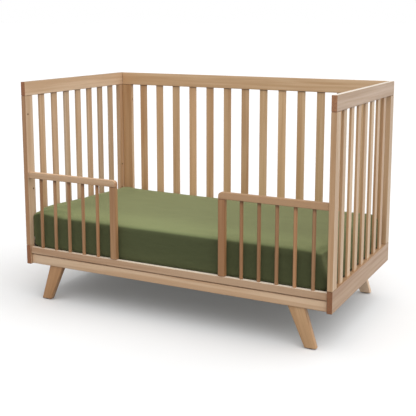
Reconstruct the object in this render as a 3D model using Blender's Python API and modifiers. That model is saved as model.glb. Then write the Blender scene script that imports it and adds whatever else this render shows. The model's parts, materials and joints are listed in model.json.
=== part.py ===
"""Baby crib of washed beech, set up as a toddler bed with two half guard rails.

Two end frames carry everything: a slatted back panel, a front guard rail with round spindles,
a leg frame front and rear, and a steel mattress support that bolts on at three heights.
Units are metres and +Z is up. The floor is z = 0, the origin is the middle of the footprint,
X runs along the bed, and the open guard rail side is at -Y.
"""
import math

import bmesh
import bpy
from mathutils import Matrix, Vector

# Overall size
LENGTH = 1.365
WIDTH = 0.756
HEIGHT = 0.930
END_BASE = 0.152             # underside of the end frames
LONG_BASE = 0.198            # underside of the back panel and of the guard's bottom rail

# Fits
GAP = 0.0003                 # between pieces that touch
TENON = 0.008                # how deep a slat or spindle goes into its rail
OVERSHOOT = 0.002            # how far a cutter runs past the face it opens

# End frames and back panel
BOARD = 0.021                # thickness of the frame boards
TOP_RAIL = 0.058
END_BOTTOM_RAIL = 0.082
END_STILE = 0.048
BACK_BOTTOM_RAIL = 0.058
BACK_STILE = 0.050
SLAT_WIDTH = 0.036
SLAT_THICKNESS = 0.009
END_SLATS = 7
BACK_SLATS = 13
BACK_SLAT_PITCH = 0.091
FRAME_EDGE = 0.0022          # eased edge of rails and stiles
SLAT_EDGE = 0.0016

# Front guard rail
GUARD_SETBACK = 0.005        # behind the front of the end frames
GUARD_THICKNESS = 0.020
GUARD_TOP = 0.551
GUARD_TOP_RAIL = 0.026
GUARD_BOTTOM_RAIL = 0.0285
GUARD_POST = 0.028
GUARD_CORNER = 0.014         # rounded free corner of each top rail
ENTRY_WIDTH = 0.457          # clear opening between the two half guards
SPINDLE_DIAMETER = 0.014
SPINDLES = 5
SPINDLE_PITCH = 0.0708
SPINDLE_FIRST = 0.0567       # from the end frame to the axis of the first spindle
SPINDLE_SIDES = 20

# Blind holes for bolts in threaded inserts
BOLT_HOLE = 0.008
BOLT_HOLE_DEPTH = 0.012
BOLT_HOLE_SIDES = 16
SUPPORT_BOLTS = (0.242, 0.359, 0.476)    # the three heights of the mattress support
FRONT_PANEL_BOLT = 0.795                 # unused while the half guards are fitted
BACK_PANEL_BOLTS = (0.300, 0.799)

# Leg frames: an apron board with two splayed legs lapped into it
APRON_SETBACK = 0.011        # behind the front of the end frames
APRON_THICKNESS = 0.020
APRON_BASE = 0.1545
APRON_HEIGHT = 0.0395
LEG_STEP = 0.006             # the legs stand behind the face of their apron
LEG_THICKNESS = 0.025
LEG_LAP = 0.018              # how far a leg runs up into its apron
LEG_TOP = (0.506, 0.573)     # inner and outer edge under the apron, from the middle
LEG_FOOT = (0.576, 0.621)    # inner and outer edge on the floor
LEG_EDGE = 0.004

# Steel mattress support
SUPPORT_LENGTH = 1.296
SUPPORT_WIDTH = 0.668
SUPPORT_TOP = 0.2205
ANGLE_FLANGE = 0.020
ANGLE_DEPTH = 0.025
STEEL = 0.0025
HANGER_WIDTH = 0.015
HANGER_TOP = 0.252
HANGER_DROP = 0.0135         # underside of the hanger's foot, below the top of the support
HANGER_STANDOFF = 0.0008     # running gap between a hanger and its stile
HANGER_Y = 0.343             # bolt line on the stiles
HANGER_FOOT = (0.024, 0.030)
DECK_CELLS = (14, 7)
DECK_STRIP = 0.005
DECK_THICKNESS = 0.004
DECK_LAP = 0.006             # how far the deck reaches under the angle flange

# Mattress and fitted sheet
SHEET_LENGTH = 1.3154
SHEET_WIDTH = 0.706
SHEET_HEIGHT = 0.148
SHEET_THICKNESS = 0.0012
SHEET_HEM = 0.065            # width of the strip that turns under the mattress
SHEET_RADIUS = 0.028
ROUND_STEPS = 5

# Places that follow from the sizes above
INNER_X = LENGTH / 2 - BOARD
INNER_BACK_Y = WIDTH / 2 - BOARD
GUARD_FRONT_Y = -WIDTH / 2 + GUARD_SETBACK
GUARD_Y = GUARD_FRONT_Y + GUARD_THICKNESS / 2
MIDDLE_Y = (INNER_BACK_Y + GUARD_FRONT_Y + GUARD_THICKNESS) / 2
TOP_RAIL_FACE = HEIGHT - TOP_RAIL
END_RAIL_FACE = END_BASE + END_BOTTOM_RAIL
BACK_RAIL_FACE = LONG_BASE + BACK_BOTTOM_RAIL
GUARD_RAIL_FACE = LONG_BASE + GUARD_BOTTOM_RAIL

SIDES = (("left", -1), ("right", 1))
SHARP_ANGLE = math.radians(40)

# Material slots: base colour, roughness, metallic
MATERIALS = {
    "beech_frame": ((0.72, 0.55, 0.41), 0.42, 0.0),
    "beech_slat": ((0.70, 0.53, 0.39), 0.45, 0.0),
    "beech_guard": ((0.68, 0.50, 0.36), 0.42, 0.0),
    "beech_spindle": ((0.66, 0.47, 0.33), 0.42, 0.0),
    "beech_leg": ((0.69, 0.51, 0.36), 0.45, 0.0),
    "support_steel": ((0.60, 0.60, 0.61), 0.38, 0.9),
    "mattress_cover": ((0.86, 0.86, 0.83), 0.80, 0.0),
    "sheet_cotton": ((0.33, 0.37, 0.18), 0.90, 0.0),
}


def clear_scene():
    for obj in list(bpy.data.objects):
        bpy.data.objects.remove(obj, do_unlink=True)


def new_collection(name):
    collection = bpy.data.collections.new(name)
    bpy.context.scene.collection.children.link(collection)
    return collection


def new_material(name):
    colour, roughness, metallic = MATERIALS[name]
    material = bpy.data.materials.new(name)
    material.use_nodes = True
    shader = material.node_tree.nodes["Principled BSDF"]
    shader.inputs["Base Color"].default_value = (*colour, 1.0)
    shader.inputs["Roughness"].default_value = roughness
    shader.inputs["Metallic"].default_value = metallic
    return material


def new_group(name, place):
    """An empty that carries the pieces of one assembly."""
    empty = bpy.data.objects.new(name, None)
    empty.location = place
    parts.objects.link(empty)
    return empty


def group_place(group):
    """Where an assembly's empty stands, through its parents."""
    place = Vector(group.location)
    while group.parent:
        group = group.parent
        place += group.location
    return place


def new_piece(name, mesh, place, material, group):
    piece = bpy.data.objects.new(name, mesh)
    mesh.materials.append(materials[material])
    piece.parent = group
    piece.location = Vector(place) - group_place(group)
    parts.objects.link(piece)
    return piece


def new_tool(name, mesh, place):
    """A guide for a Boolean: it shapes another piece and is not a piece itself."""
    tool = bpy.data.objects.new(name, mesh)
    tool.location = place
    tool.hide_render = True
    tool.display_type = "WIRE"
    tools.objects.link(tool)
    return tool


def to_mesh(name, bm):
    mesh = bpy.data.meshes.new(name)
    bm.to_mesh(mesh)
    bm.free()
    return mesh


def box_mesh(name, size, centres=((0.0, 0.0, 0.0),)):
    """One box of this size, or several, at the given centres."""
    bm = bmesh.new()
    for centre in centres:
        place = Matrix.Translation(centre) @ Matrix.Diagonal((*size, 1.0))
        bmesh.ops.create_cube(bm, size=1.0, matrix=place)
    return to_mesh(name, bm)


def rod_mesh(name, diameter, length, centres=((0.0, 0.0, 0.0),)):
    """One upright round rod, or several, at the given centres."""
    bm = bmesh.new()
    for centre in centres:
        bmesh.ops.create_cone(bm, cap_ends=True, segments=SPINDLE_SIDES, radius1=diameter / 2,
                              radius2=diameter / 2, depth=length, matrix=Matrix.Translation(centre))
    return to_mesh(name, bm)


def ease(piece, width, segments=2):
    bevel = piece.modifiers.new("eased_edges", "BEVEL")
    bevel.width = width
    bevel.segments = segments
    bevel.limit_method = "ANGLE"


def combine(piece, tool, operation):
    boolean = piece.modifiers.new(tool.name, "BOOLEAN")
    boolean.operation = operation
    boolean.solver = "EXACT"
    boolean.object = tool


def board(name, low, high, material, group, edge=FRAME_EDGE, segments=2):
    """A straight board between two opposite corners, with eased edges."""
    size = [top - bottom for bottom, top in zip(low, high)]
    centre = [(bottom + top) / 2 for bottom, top in zip(low, high)]
    piece = new_piece(name, box_mesh(name, size), centre, material, group)
    ease(piece, edge, segments)
    return piece


def even_centres(reach, count, width):
    """Centres of equal pieces that leave equal gaps between faces at -reach and +reach."""
    gap = (2 * reach - count * width) / (count + 1)
    return [-reach + gap + width / 2 + i * (gap + width) for i in range(count)]


def cut_mortises(rail, section, centres, face, upward):
    """Blind mortises for slats, opened from the rail's face at this height."""
    depth = TENON + GAP + OVERSHOOT
    middle = face + (depth / 2 - OVERSHOOT) * upward
    size = (section[0] + 2 * GAP, section[1] + 2 * GAP, depth)
    places = [(x, y, middle) for x, y in centres]
    tool = new_tool(rail.name + "_mortises", box_mesh(rail.name + "_mortises", size, places), (0, 0, 0))
    combine(rail, tool, "DIFFERENCE")


def cut_sockets(rail, centres, face, upward):
    """Blind round sockets for spindles, opened from the rail's face at this height."""
    depth = TENON + GAP + OVERSHOOT
    middle = face + (depth / 2 - OVERSHOOT) * upward
    places = [(x, y, middle) for x, y in centres]
    mesh = rod_mesh(rail.name + "_sockets", SPINDLE_DIAMETER + 2 * GAP, depth, places)
    combine(rail, new_tool(rail.name + "_sockets", mesh, (0, 0, 0)), "DIFFERENCE")


def drill(board_piece, mouths, direction):
    """Blind bolt holes in a board, each from its mouth along one direction."""
    depth = BOLT_HOLE_DEPTH + OVERSHOOT
    along = Vector(direction)
    turn = Vector((0.0, 0.0, 1.0)).rotation_difference(along).to_matrix().to_4x4()
    bm = bmesh.new()
    for mouth in mouths:
        centre = Vector(mouth) + along * (depth / 2 - OVERSHOOT)
        bmesh.ops.create_cone(bm, cap_ends=True, segments=BOLT_HOLE_SIDES, radius1=BOLT_HOLE / 2,
                              radius2=BOLT_HOLE / 2, depth=depth,
                              matrix=Matrix.Translation(centre) @ turn)
    name = board_piece.name + "_bolt_holes"
    combine(board_piece, new_tool(name, to_mesh(name, bm), (0, 0, 0)), "DIFFERENCE")


def slats(prefix, section, centres, rails, low_face, group):
    """Flat slats tenoned into a bottom and a top rail."""
    bottom_rail, top_rail = rails
    cut_mortises(bottom_rail, section, centres, low_face, -1)
    cut_mortises(top_rail, section, centres, TOP_RAIL_FACE, 1)
    half = (section[0] / 2, section[1] / 2)
    for number, (x, y) in enumerate(centres, start=1):
        low = (x - half[0], y - half[1], low_face - TENON)
        high = (x + half[0], y + half[1], TOP_RAIL_FACE + TENON)
        board(f"{prefix}_slat_{number}", low, high, "beech_slat", group, SLAT_EDGE, 1)


def end_frame(name, side):
    """One end of the crib: full-depth rails with two stiles and seven slats between them."""
    middle_x = side * (LENGTH / 2 - BOARD / 2)
    group = new_group(name + "_end_frame", (middle_x, 0.0, 0.0))
    low_x = middle_x - BOARD / 2
    high_x = middle_x + BOARD / 2
    half = WIDTH / 2
    top_rail = board(name + "_end_top_rail", (low_x, -half, TOP_RAIL_FACE),
                     (high_x, half, HEIGHT), "beech_frame", group)
    bottom_rail = board(name + "_end_bottom_rail", (low_x, -half, END_BASE),
                        (high_x, half, END_RAIL_FACE), "beech_frame", group)
    front_stile = board(name + "_end_front_stile", (low_x, -half, END_RAIL_FACE + GAP),
                        (high_x, -half + END_STILE, TOP_RAIL_FACE - GAP), "beech_frame", group)
    rear_stile = board(name + "_end_rear_stile", (low_x, half - END_STILE, END_RAIL_FACE + GAP),
                       (high_x, half, TOP_RAIL_FACE - GAP), "beech_frame", group)
    inner_x = side * INNER_X
    panel_hole = (inner_x, GUARD_Y, FRONT_PANEL_BOLT)
    drill(front_stile, [panel_hole] + [(inner_x, -HANGER_Y, z) for z in SUPPORT_BOLTS],
          (side, 0.0, 0.0))
    drill(rear_stile, [(inner_x, HANGER_Y, z) for z in SUPPORT_BOLTS], (side, 0.0, 0.0))
    centres = [(middle_x, y) for y in even_centres(half - END_STILE, END_SLATS, SLAT_WIDTH)]
    slats(name + "_end", (SLAT_THICKNESS, SLAT_WIDTH), centres, (bottom_rail, top_rail),
          END_RAIL_FACE, group)


def back_panel():
    """The high back between the end frames: two rails, two stiles and thirteen slats."""
    middle_y = WIDTH / 2 - BOARD / 2
    group = new_group("back_panel", (0.0, middle_y, 0.0))
    low_y = middle_y - BOARD / 2
    high_y = middle_y + BOARD / 2
    half = INNER_X - GAP
    inner = half - BACK_STILE
    top_rail = board("back_top_rail", (-half, low_y, TOP_RAIL_FACE),
                     (half, high_y, HEIGHT), "beech_frame", group)
    bottom_rail = board("back_bottom_rail", (-half, low_y, LONG_BASE),
                        (half, high_y, BACK_RAIL_FACE), "beech_frame", group)
    left_stile = board("back_left_stile", (-half, low_y, BACK_RAIL_FACE + GAP),
                       (-inner, high_y, TOP_RAIL_FACE - GAP), "beech_frame", group)
    right_stile = board("back_right_stile", (inner, low_y, BACK_RAIL_FACE + GAP),
                        (half, high_y, TOP_RAIL_FACE - GAP), "beech_frame", group)
    for stile, side in ((left_stile, -1), (right_stile, 1)):
        drill(stile, [(side * inner, middle_y, z) for z in BACK_PANEL_BOLTS], (side, 0.0, 0.0))
    middle_slat = (BACK_SLATS - 1) / 2
    centres = [((i - middle_slat) * BACK_SLAT_PITCH, middle_y) for i in range(BACK_SLATS)]
    slats("back", (SLAT_WIDTH, SLAT_THICKNESS), centres, (bottom_rail, top_rail),
          BACK_RAIL_FACE, group)


def rounded_rail_mesh(name, size, side):
    """A top rail whose upper corner at the entry is rounded."""
    bm = bmesh.new()
    bmesh.ops.create_cube(bm, size=1.0, matrix=Matrix.Diagonal((*size, 1.0)))
    corner = [edge for edge in bm.edges
              if all(v.co.z > 0 and v.co.x * side < 0 for v in edge.verts)]
    bmesh.ops.bevel(bm, geom=corner, offset=GUARD_CORNER, segments=6, profile=0.5, affect="EDGES")
    return to_mesh(name, bm)


def half_guard(name, side, group):
    """One half guard: a top rail that runs over an end post. Returns its spindles' axes."""
    low_y = GUARD_Y - GUARD_THICKNESS / 2
    high_y = GUARD_Y + GUARD_THICKNESS / 2
    outer = INNER_X - GAP
    inner = ENTRY_WIDTH / 2
    rail_low = GUARD_TOP - GUARD_TOP_RAIL
    size = (outer - inner, GUARD_THICKNESS, GUARD_TOP_RAIL)
    centre = (side * (outer + inner) / 2, GUARD_Y, GUARD_TOP - GUARD_TOP_RAIL / 2)
    rail_name = f"guard_{name}_top_rail"
    top_rail = new_piece(rail_name, rounded_rail_mesh(rail_name, size, side), centre,
                         "beech_guard", group)
    ease(top_rail, FRAME_EDGE)
    post_x = sorted((side * inner, side * (inner + GUARD_POST)))
    board(f"guard_{name}_post", (post_x[0], low_y, GUARD_RAIL_FACE + GAP),
          (post_x[1], high_y, rail_low - GAP), "beech_guard", group)
    axes = [(side * (INNER_X - SPINDLE_FIRST - i * SPINDLE_PITCH), GUARD_Y)
            for i in range(SPINDLES)]
    cut_sockets(top_rail, axes, rail_low, 1)
    return axes


def spindles(name, axes, group):
    """Round spindles between the guard's bottom rail and a top rail."""
    low = GUARD_RAIL_FACE - TENON
    high = GUARD_TOP - GUARD_TOP_RAIL + TENON
    for number, (x, y) in enumerate(axes, start=1):
        piece_name = f"guard_{name}_spindle_{number}"
        mesh = rod_mesh(piece_name, SPINDLE_DIAMETER, high - low)
        mesh.shade_smooth()
        mesh.set_sharp_from_angle(angle=SHARP_ANGLE)
        new_piece(piece_name, mesh, (x, y, (low + high) / 2), "beech_spindle", group)


def front_guard():
    """Two half guards that share one full-length bottom rail, open in the middle."""
    group = new_group("front_guard", (0.0, GUARD_Y, 0.0))
    half = INNER_X - GAP
    bottom_rail = board("guard_bottom_rail", (-half, GUARD_Y - GUARD_THICKNESS / 2, LONG_BASE),
                        (half, GUARD_Y + GUARD_THICKNESS / 2, GUARD_RAIL_FACE), "beech_guard", group)
    all_axes = []
    for name, side in SIDES:
        axes = half_guard(name, side, group)
        spindles(name, axes, group)
        all_axes += axes
    cut_sockets(bottom_rail, all_axes, GUARD_RAIL_FACE, -1)


def leg_mesh(name, side):
    """A flat board that splays outwards and narrows down to the floor."""
    lap_rise = LEG_LAP / APRON_BASE
    bm = bmesh.new()
    bmesh.ops.create_cube(bm, size=1.0)
    for vert in bm.verts:
        edge = 1 if vert.co.x * side > 0 else 0
        splay = LEG_TOP[edge] - LEG_FOOT[edge]
        if vert.co.z > 0:
            vert.co.x = side * (LEG_TOP[edge] + splay * lap_rise)
            vert.co.z = APRON_BASE + LEG_LAP
        else:
            vert.co.x = side * LEG_FOOT[edge]
            vert.co.z = 0.0
        vert.co.y *= LEG_THICKNESS
    return to_mesh(name, bm)


def leg_frame(name, facing):
    """An apron board between the end frames with two legs lapped and glued behind it."""
    apron_y = facing * (WIDTH / 2 - APRON_SETBACK - APRON_THICKNESS / 2)
    leg_y = facing * (WIDTH / 2 - APRON_SETBACK - LEG_STEP - LEG_THICKNESS / 2)
    group = new_group(name + "_leg_group", (0.0, apron_y, 0.0))
    half = INNER_X - GAP
    apron = board(name + "_leg_frame", (-half, apron_y - APRON_THICKNESS / 2, APRON_BASE),
                  (half, apron_y + APRON_THICKNESS / 2, APRON_BASE + APRON_HEIGHT),
                  "beech_leg", group)
    for side_name, side in SIDES:
        leg_name = f"{name}_{side_name}_leg"
        leg = new_tool(leg_name, leg_mesh(leg_name, side), (0.0, leg_y, 0.0))
        ease(leg, LEG_EDGE)
        combine(apron, leg, "UNION")


def angle_ring_mesh(name):
    """The support's rectangle of steel angle, as an open surface: flange on top, web outside."""
    bm = bmesh.new()
    size = Matrix.Diagonal((SUPPORT_LENGTH, SUPPORT_WIDTH, 1.0, 1.0))
    bmesh.ops.create_grid(bm, x_segments=1, y_segments=1, size=0.5, matrix=size)
    middle = bm.faces[:]
    bmesh.ops.inset_individual(bm, faces=middle, thickness=ANGLE_FLANGE)
    outline = [edge for edge in bm.edges if edge.is_boundary]
    bmesh.ops.delete(bm, geom=middle, context="FACES")
    web = bmesh.ops.extrude_edge_only(bm, edges=outline)["geom"]
    lower = [item for item in web if isinstance(item, bmesh.types.BMVert)]
    bmesh.ops.translate(bm, verts=lower, vec=(0.0, 0.0, -ANGLE_DEPTH))
    bmesh.ops.recalc_face_normals(bm, faces=bm.faces)
    return to_mesh(name, bm)


def hanger_tools(side_x, side_y):
    """One corner hanger: a foot welded to the angle, and an upright plate for the bolt."""
    corner = f"{'left' if side_x < 0 else 'right'}_{'front' if side_y < 0 else 'rear'}"
    foot_low = SUPPORT_TOP - HANGER_DROP
    outer_x = INNER_X - HANGER_STANDOFF
    outer_y = HANGER_Y + HANGER_WIDTH / 2
    plate_name = "hanger_plate_" + corner
    foot_name = "hanger_foot_" + corner
    plate = box_mesh(plate_name, (STEEL, HANGER_WIDTH, HANGER_TOP - foot_low))
    foot = box_mesh(foot_name, (*HANGER_FOOT, STEEL))
    plate_place = (side_x * (outer_x - STEEL / 2), side_y * HANGER_Y, (foot_low + HANGER_TOP) / 2)
    foot_place = (side_x * (outer_x - HANGER_FOOT[0] / 2),
                  side_y * (outer_y - HANGER_FOOT[1] / 2), foot_low + STEEL / 2)
    return [new_tool(plate_name, plate, plate_place), new_tool(foot_name, foot, foot_place)]


def support_frame(group):
    """The steel ring that carries the deck, with a hanger at each corner."""
    place = (0.0, MIDDLE_Y, SUPPORT_TOP)
    ring = new_piece("support_frame", angle_ring_mesh("support_frame"), place, "support_steel", group)
    wall = ring.modifiers.new("steel", "SOLIDIFY")
    wall.thickness = STEEL
    wall.offset = -1.0
    wall.use_even_offset = True
    for side_x in (-1, 1):
        for side_y in (-1, 1):
            for tool in hanger_tools(side_x, side_y):
                combine(ring, tool, "UNION")


def spring_deck(group):
    """The flat lattice that the mattress lies on, lapped under the ring's flange."""
    length = SUPPORT_LENGTH - 2 * (ANGLE_FLANGE - DECK_LAP)
    width = SUPPORT_WIDTH - 2 * (ANGLE_FLANGE - DECK_LAP)
    bm = bmesh.new()
    bmesh.ops.create_grid(bm, x_segments=DECK_CELLS[0], y_segments=DECK_CELLS[1], size=0.5,
                          matrix=Matrix.Diagonal((length, width, 1.0, 1.0)))
    cells = list(bm.faces)
    bmesh.ops.inset_individual(bm, faces=cells, thickness=DECK_STRIP / 2)
    bmesh.ops.delete(bm, geom=cells, context="FACES")
    mesh = to_mesh("spring_deck", bm)
    top = SUPPORT_TOP - STEEL - GAP
    deck = new_piece("spring_deck", mesh, (0.0, MIDDLE_Y, top), "support_steel", group)
    plate = deck.modifiers.new("steel", "SOLIDIFY")
    plate.thickness = DECK_THICKNESS
    plate.offset = -1.0


def rounded_block(inset):
    """A block with round edges all over, this far inside the outside of the fitted sheet."""
    size = (SHEET_LENGTH - 2 * inset, SHEET_WIDTH - 2 * inset, SHEET_HEIGHT - 2 * inset)
    bm = bmesh.new()
    bmesh.ops.create_cube(bm, size=1.0, matrix=Matrix.Diagonal((*size, 1.0)))
    bmesh.ops.bevel(bm, geom=list(bm.edges), offset=SHEET_RADIUS - inset, segments=ROUND_STEPS,
                    profile=0.5, affect="EDGES")
    return bm


def mattress(group):
    """The foam mattress in its cover, under the fitted sheet."""
    centre = (0.0, MIDDLE_Y, SUPPORT_TOP + GAP + SHEET_HEIGHT / 2)
    mesh = to_mesh("mattress", rounded_block(SHEET_THICKNESS + GAP))
    new_piece("mattress", mesh, centre, "mattress_cover", group)


def fitted_sheet(group):
    """A thin cotton cover over the mattress, turned under all round and open below."""
    centre = (0.0, MIDDLE_Y, SUPPORT_TOP + GAP + SHEET_HEIGHT / 2)
    bm = rounded_block(0.0)
    bottom = min(bm.faces, key=lambda face: face.calc_center_median().z)
    bmesh.ops.inset_region(bm, faces=[bottom], thickness=SHEET_HEM)
    bmesh.ops.delete(bm, geom=[bottom], context="FACES")
    sheet = new_piece("fitted_sheet", to_mesh("fitted_sheet", bm), centre, "sheet_cotton", group)
    cloth = sheet.modifiers.new("cloth", "SOLIDIFY")
    cloth.thickness = SHEET_THICKNESS
    cloth.offset = -1.0
    cloth.use_even_offset = True


def bed_support():
    """The parts that move: the support slides up the stiles, the mattress lifts off it."""
    support = new_group("support_height_slide", (0.0, MIDDLE_Y, SUPPORT_TOP))
    support_frame(support)
    spring_deck(support)
    bedding = new_group("mattress_lift_slide", (0.0, MIDDLE_Y, SUPPORT_TOP))
    bedding.parent = support
    bedding.location = (0.0, 0.0, 0.0)
    mattress(bedding)
    fitted_sheet(bedding)


clear_scene()
parts = new_collection("baby_crib")
tools = new_collection("boolean_tools")
materials = {name: new_material(name) for name in MATERIALS}
for side_label, side_sign in SIDES:
    end_frame(side_label, side_sign)
back_panel()
front_guard()
leg_frame("front", -1)
leg_frame("rear", 1)
bed_support()
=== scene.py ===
"""Looks of the crib set up as a toddler bed: washed beech, a green cotton fitted sheet on a
foam mattress, and a steel mattress support with a wire deck and coil springs.

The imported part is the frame. Its wooden boards and its steel ring are shown as they are, with
better materials. The leg frames, the deck, the mattress and the sheet are replaced by detailed
pieces, and the small hardware is added. Units are metres, in the part's own frame.
"""
import json
import math

import bmesh
import bpy
from mathutils import Matrix, Vector, noise
from mathutils.bvhtree import BVHTree

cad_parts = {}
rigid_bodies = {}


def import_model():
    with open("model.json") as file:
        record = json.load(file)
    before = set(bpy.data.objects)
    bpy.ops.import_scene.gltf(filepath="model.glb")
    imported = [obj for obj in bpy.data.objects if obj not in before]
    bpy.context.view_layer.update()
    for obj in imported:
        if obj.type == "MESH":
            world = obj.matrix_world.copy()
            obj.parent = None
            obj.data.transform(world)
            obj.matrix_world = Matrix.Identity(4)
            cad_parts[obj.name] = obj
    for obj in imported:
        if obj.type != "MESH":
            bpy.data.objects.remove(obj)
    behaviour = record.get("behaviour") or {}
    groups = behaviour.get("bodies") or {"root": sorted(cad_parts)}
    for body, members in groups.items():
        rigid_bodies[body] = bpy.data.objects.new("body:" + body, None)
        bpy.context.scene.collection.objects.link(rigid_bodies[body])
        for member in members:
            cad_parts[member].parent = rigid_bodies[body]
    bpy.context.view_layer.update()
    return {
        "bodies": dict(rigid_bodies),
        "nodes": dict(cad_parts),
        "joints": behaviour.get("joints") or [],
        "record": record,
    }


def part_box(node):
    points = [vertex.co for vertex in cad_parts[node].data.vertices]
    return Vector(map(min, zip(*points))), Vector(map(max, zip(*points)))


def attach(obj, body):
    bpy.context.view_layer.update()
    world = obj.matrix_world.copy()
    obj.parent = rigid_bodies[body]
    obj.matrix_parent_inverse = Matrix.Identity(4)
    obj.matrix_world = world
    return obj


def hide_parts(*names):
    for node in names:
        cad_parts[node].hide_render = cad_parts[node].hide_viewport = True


GAP = 0.0003                    # between pieces that touch
SMOOTH_ANGLE = math.radians(40)

# Legs, by their inner and outer edge from the middle of the crib
LEG_TOP = (0.506, 0.573)
LEG_FOOT = (0.576, 0.621)
LEG_LAP = 0.018                 # how far a leg runs up behind its apron
LEG_STEP = 0.006                # the legs stand behind the face of their apron
LEG_THICKNESS = 0.025
APRON_THICKNESS = 0.020
APRON_HEIGHT = 0.0395
APRON_BASE = 0.1545
BOARD_EDGE = 0.0022
LEG_EDGE = 0.004
CUT_PAST = 0.010                # a cutter reaches this far past what it cuts
LEG_LEAN = math.atan2(sum(LEG_FOOT) - sum(LEG_TOP), 2 * (APRON_BASE + LEG_LAP))
GLIDE_HEIGHT = 0.003

# Hardware
BOLT_LINE = 0.343               # support bolts, either side of the middle
SUPPORT_BOLTS = (0.242, 0.359, 0.476)
FRONT_PANEL_BOLT = 0.795
BACK_PANEL_BOLTS = (0.300, 0.799)
HOLE_DIAMETER = 0.008
INSERT_BORE = 0.0052
HANGER_PLATE = 0.0025
COUNTERBORE = 0.0060            # depth of the holes that take the back panel's bolt heads
SUPPORT_BOLT = (0.0125, 0.0030)      # head diameter, and length past the face that it holds
PANEL_BOLT = (0.0072, 0.0050)
ROUND_SIDES = 24

# Directions of faces that get painted light or shade
FRONT = (0.0, -1.0, 0.0)
UP = (0.0, 0.0, 1.0)

# Beech
SLAT_RAIL_SHADOW = (0.872, 0.006, 0.85)        # painted shadow where slats run up into a rail: height, reach and strength of the shadow, and where spindles do
SPINDLE_RAIL_SHADOW = (0.525, 0.018, 0.85)     # strength of the darker wood, and where spindles do
# colour of the painted shadow under a rail
RAIL_SHADOW_TONE = (0.15, 0.07, 0.032, 1.0)
PORE_TONE = (0.10, 0.045, 0.022, 1.0)
EDGE_SHADE_TONE = (0.62, 0.55, 0.48, 1.0)      # painted shade along an eased edge
EDGE_SHADE_SHARE = 0.70
WARM = (1.05, 0.985, 0.93, 1.0)          # boards differ by a tint between these two
COOL = (0.97, 1.0, 1.03, 1.0)

# Cotton
# painted shade on the sheet's upright faces
UPRIGHT_SHADE_TINT = (0.86, 0.85, 0.82, 1.0)
SHEEN_TINT = (0.76, 0.80, 0.40, 1.0)

# Wire deck
WIRE = 0.0026
BORDER_WIRE = 0.0036
BORDER_CORNER = 0.03
WIRE_RISE = 0.012               # over this length a long wire rises over the cross wires
SPRING_LENGTH = 0.030
SPRING_DIAMETER = 0.0074
SPRING_WIRE = 0.0012
SPRING_TURNS = 9
CROSS_WIRES = 13
LONG_WIRES = 7

# Mattress and sheet
VOXEL = 0.010
AIR_PRESSURE = 4.0
CLOTH_FRAMES = 20
START_SHRINK = 0.003            # the pad starts this much smaller, and swells
MOST_SWELL = 0.006
PAD_TOP_EDGE = 0.014
PAD_BOTTOM_EDGE = 0.010
PAD_CORNERS = (0.024, 0.024, 0.014, 0.030)    # rear right, rear left, front left, front right
CORNER_GROWTH = 0.4             # they grow by this share of how far an edge has curved in
PAD_END = 0.6600                # how far the bedding reaches towards the end frames
PAD_END_LOW = 0.6553            # and lower down, where it clears the support bolts
BOLT_CLEAR = (0.254, 0.275)     # between these heights the reach changes
BEFORE_BOLTS = (-0.3505, -0.3555)    # and between these places, on the way to the front
PAD_FRONT = -0.3525
PAD_SMOOTH = math.radians(80)
SQUARE_REACH = 0.022            # the front left corner is squarer over this far
SQUARE_LOW = (0.222, 0.245)     # between these heights that begins
SQUARE_HIGH = (0.395, 0.345)    # and between these it ends
CORNER_DRAWN = 0.030            # how far the sheet draws the top of its front right corner back
CORNER_X = (0.575, 0.650)       # between these places that grows to its full
CORNER_Y = (-0.190, -0.320)
END_DRAWN = 0.010               # how far the top of the right end is drawn back
END_X = (0.600, 0.655)
DRAWN_HEIGHT = (0.245, 0.350)
END_FALL = 0.008                # how far that end rolls down
CROWN = 0.002                   # the middle of the bed stands up this much
SINK = 0.0070                   # and all of its top lies this much below its full height
TILT = 0.0060                   # it is this much lower at the rear edge, and higher in front
TWIST = 0.0010
FRONT_DIP = 0.0020              # the front edge sags, more on the left and less on the right
LEFT_DIP = 0.0030
RIGHT_DIP = -0.0020
LEFT_RISE = 0.0105              # the left end stands up, more in front but not at its edge
LEFT_TILT = 0.0060
LEFT_FRONT_RISE = 0.0080
LEFT_EDGE_FALL = 0.0150
SIDE_FOLDS = (0.0011, 0.0007)   # depths of the wide and the narrow folds
TOP_FOLDS = (0.0016, 0.0006)
FAN_FOLDS = 0.0012              # and of those that fan out from the corners
FAN_REACH = 0.13
SHEET_THICKNESS = 0.0010
HEM = 0.065                     # how far the sheet turns under the mattress
HEM_CORNER = 0.060
HEM_DIAMETER = 0.0022
HEM_STEP = 0.004
GATHER_DEPTH = 0.0012
GATHERS = 900.0                 # radians of gathering along each metre of the hem
UNDERSIDE = 0.012               # what is lower than this in the sheet is its underside
SEAM_WIDTH = 0.005
SEAM_INSET = 0.07               # rays find a seam from this far inside its corner
SEAM_DROP = 0.075               # and from this far below the sheet's top
SEAM_ANGLES = (-8, 70)          # between these angles from level, in degrees
SEAM_STEPS = 24
SEAM_LOW_STEPS = 7              # and then this many times lower down
SEAM_LOW_STEP = 0.009
SEAM_PROFILE = ((-0.5, 0.0002), (-0.4, 0.0007), (-0.1, 0.0011), (0.0, 0.0007), (0.1, 0.0011),
                (0.4, 0.0007), (0.5, 0.0002))    # across in seam widths, and height

# Light
LAMP_PLACE = (0.56, -0.17, 1.0)
LAMP_ENERGY = 2.30
LAMP_ANGLE = 98                 # degrees across, as seen from the crib
FLOOR_SIZE = 400.0
FLOOR_GREYS = (0.87, 0.89)
DOME_LEVELS = ((0.0, 0.14), (0.465, 0.14), (0.485, 1.0), (0.585, 1.0), (0.65, 0.60),
               (1.0, 0.60))     # height, from straight down, 0, to straight up, 1, and level

# Camera: where it stands, how it is turned in degrees, its lens and its shift
CAMERA_PLACE = (1.548, -3.021, 1.173)
CAMERA_HEADING = 27.19
CAMERA_DOWN = 9.19
CAMERA_LENS = 70.36
CAMERA_RISE = -0.13


# ---------------------------------------------------------------- meshes


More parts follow.
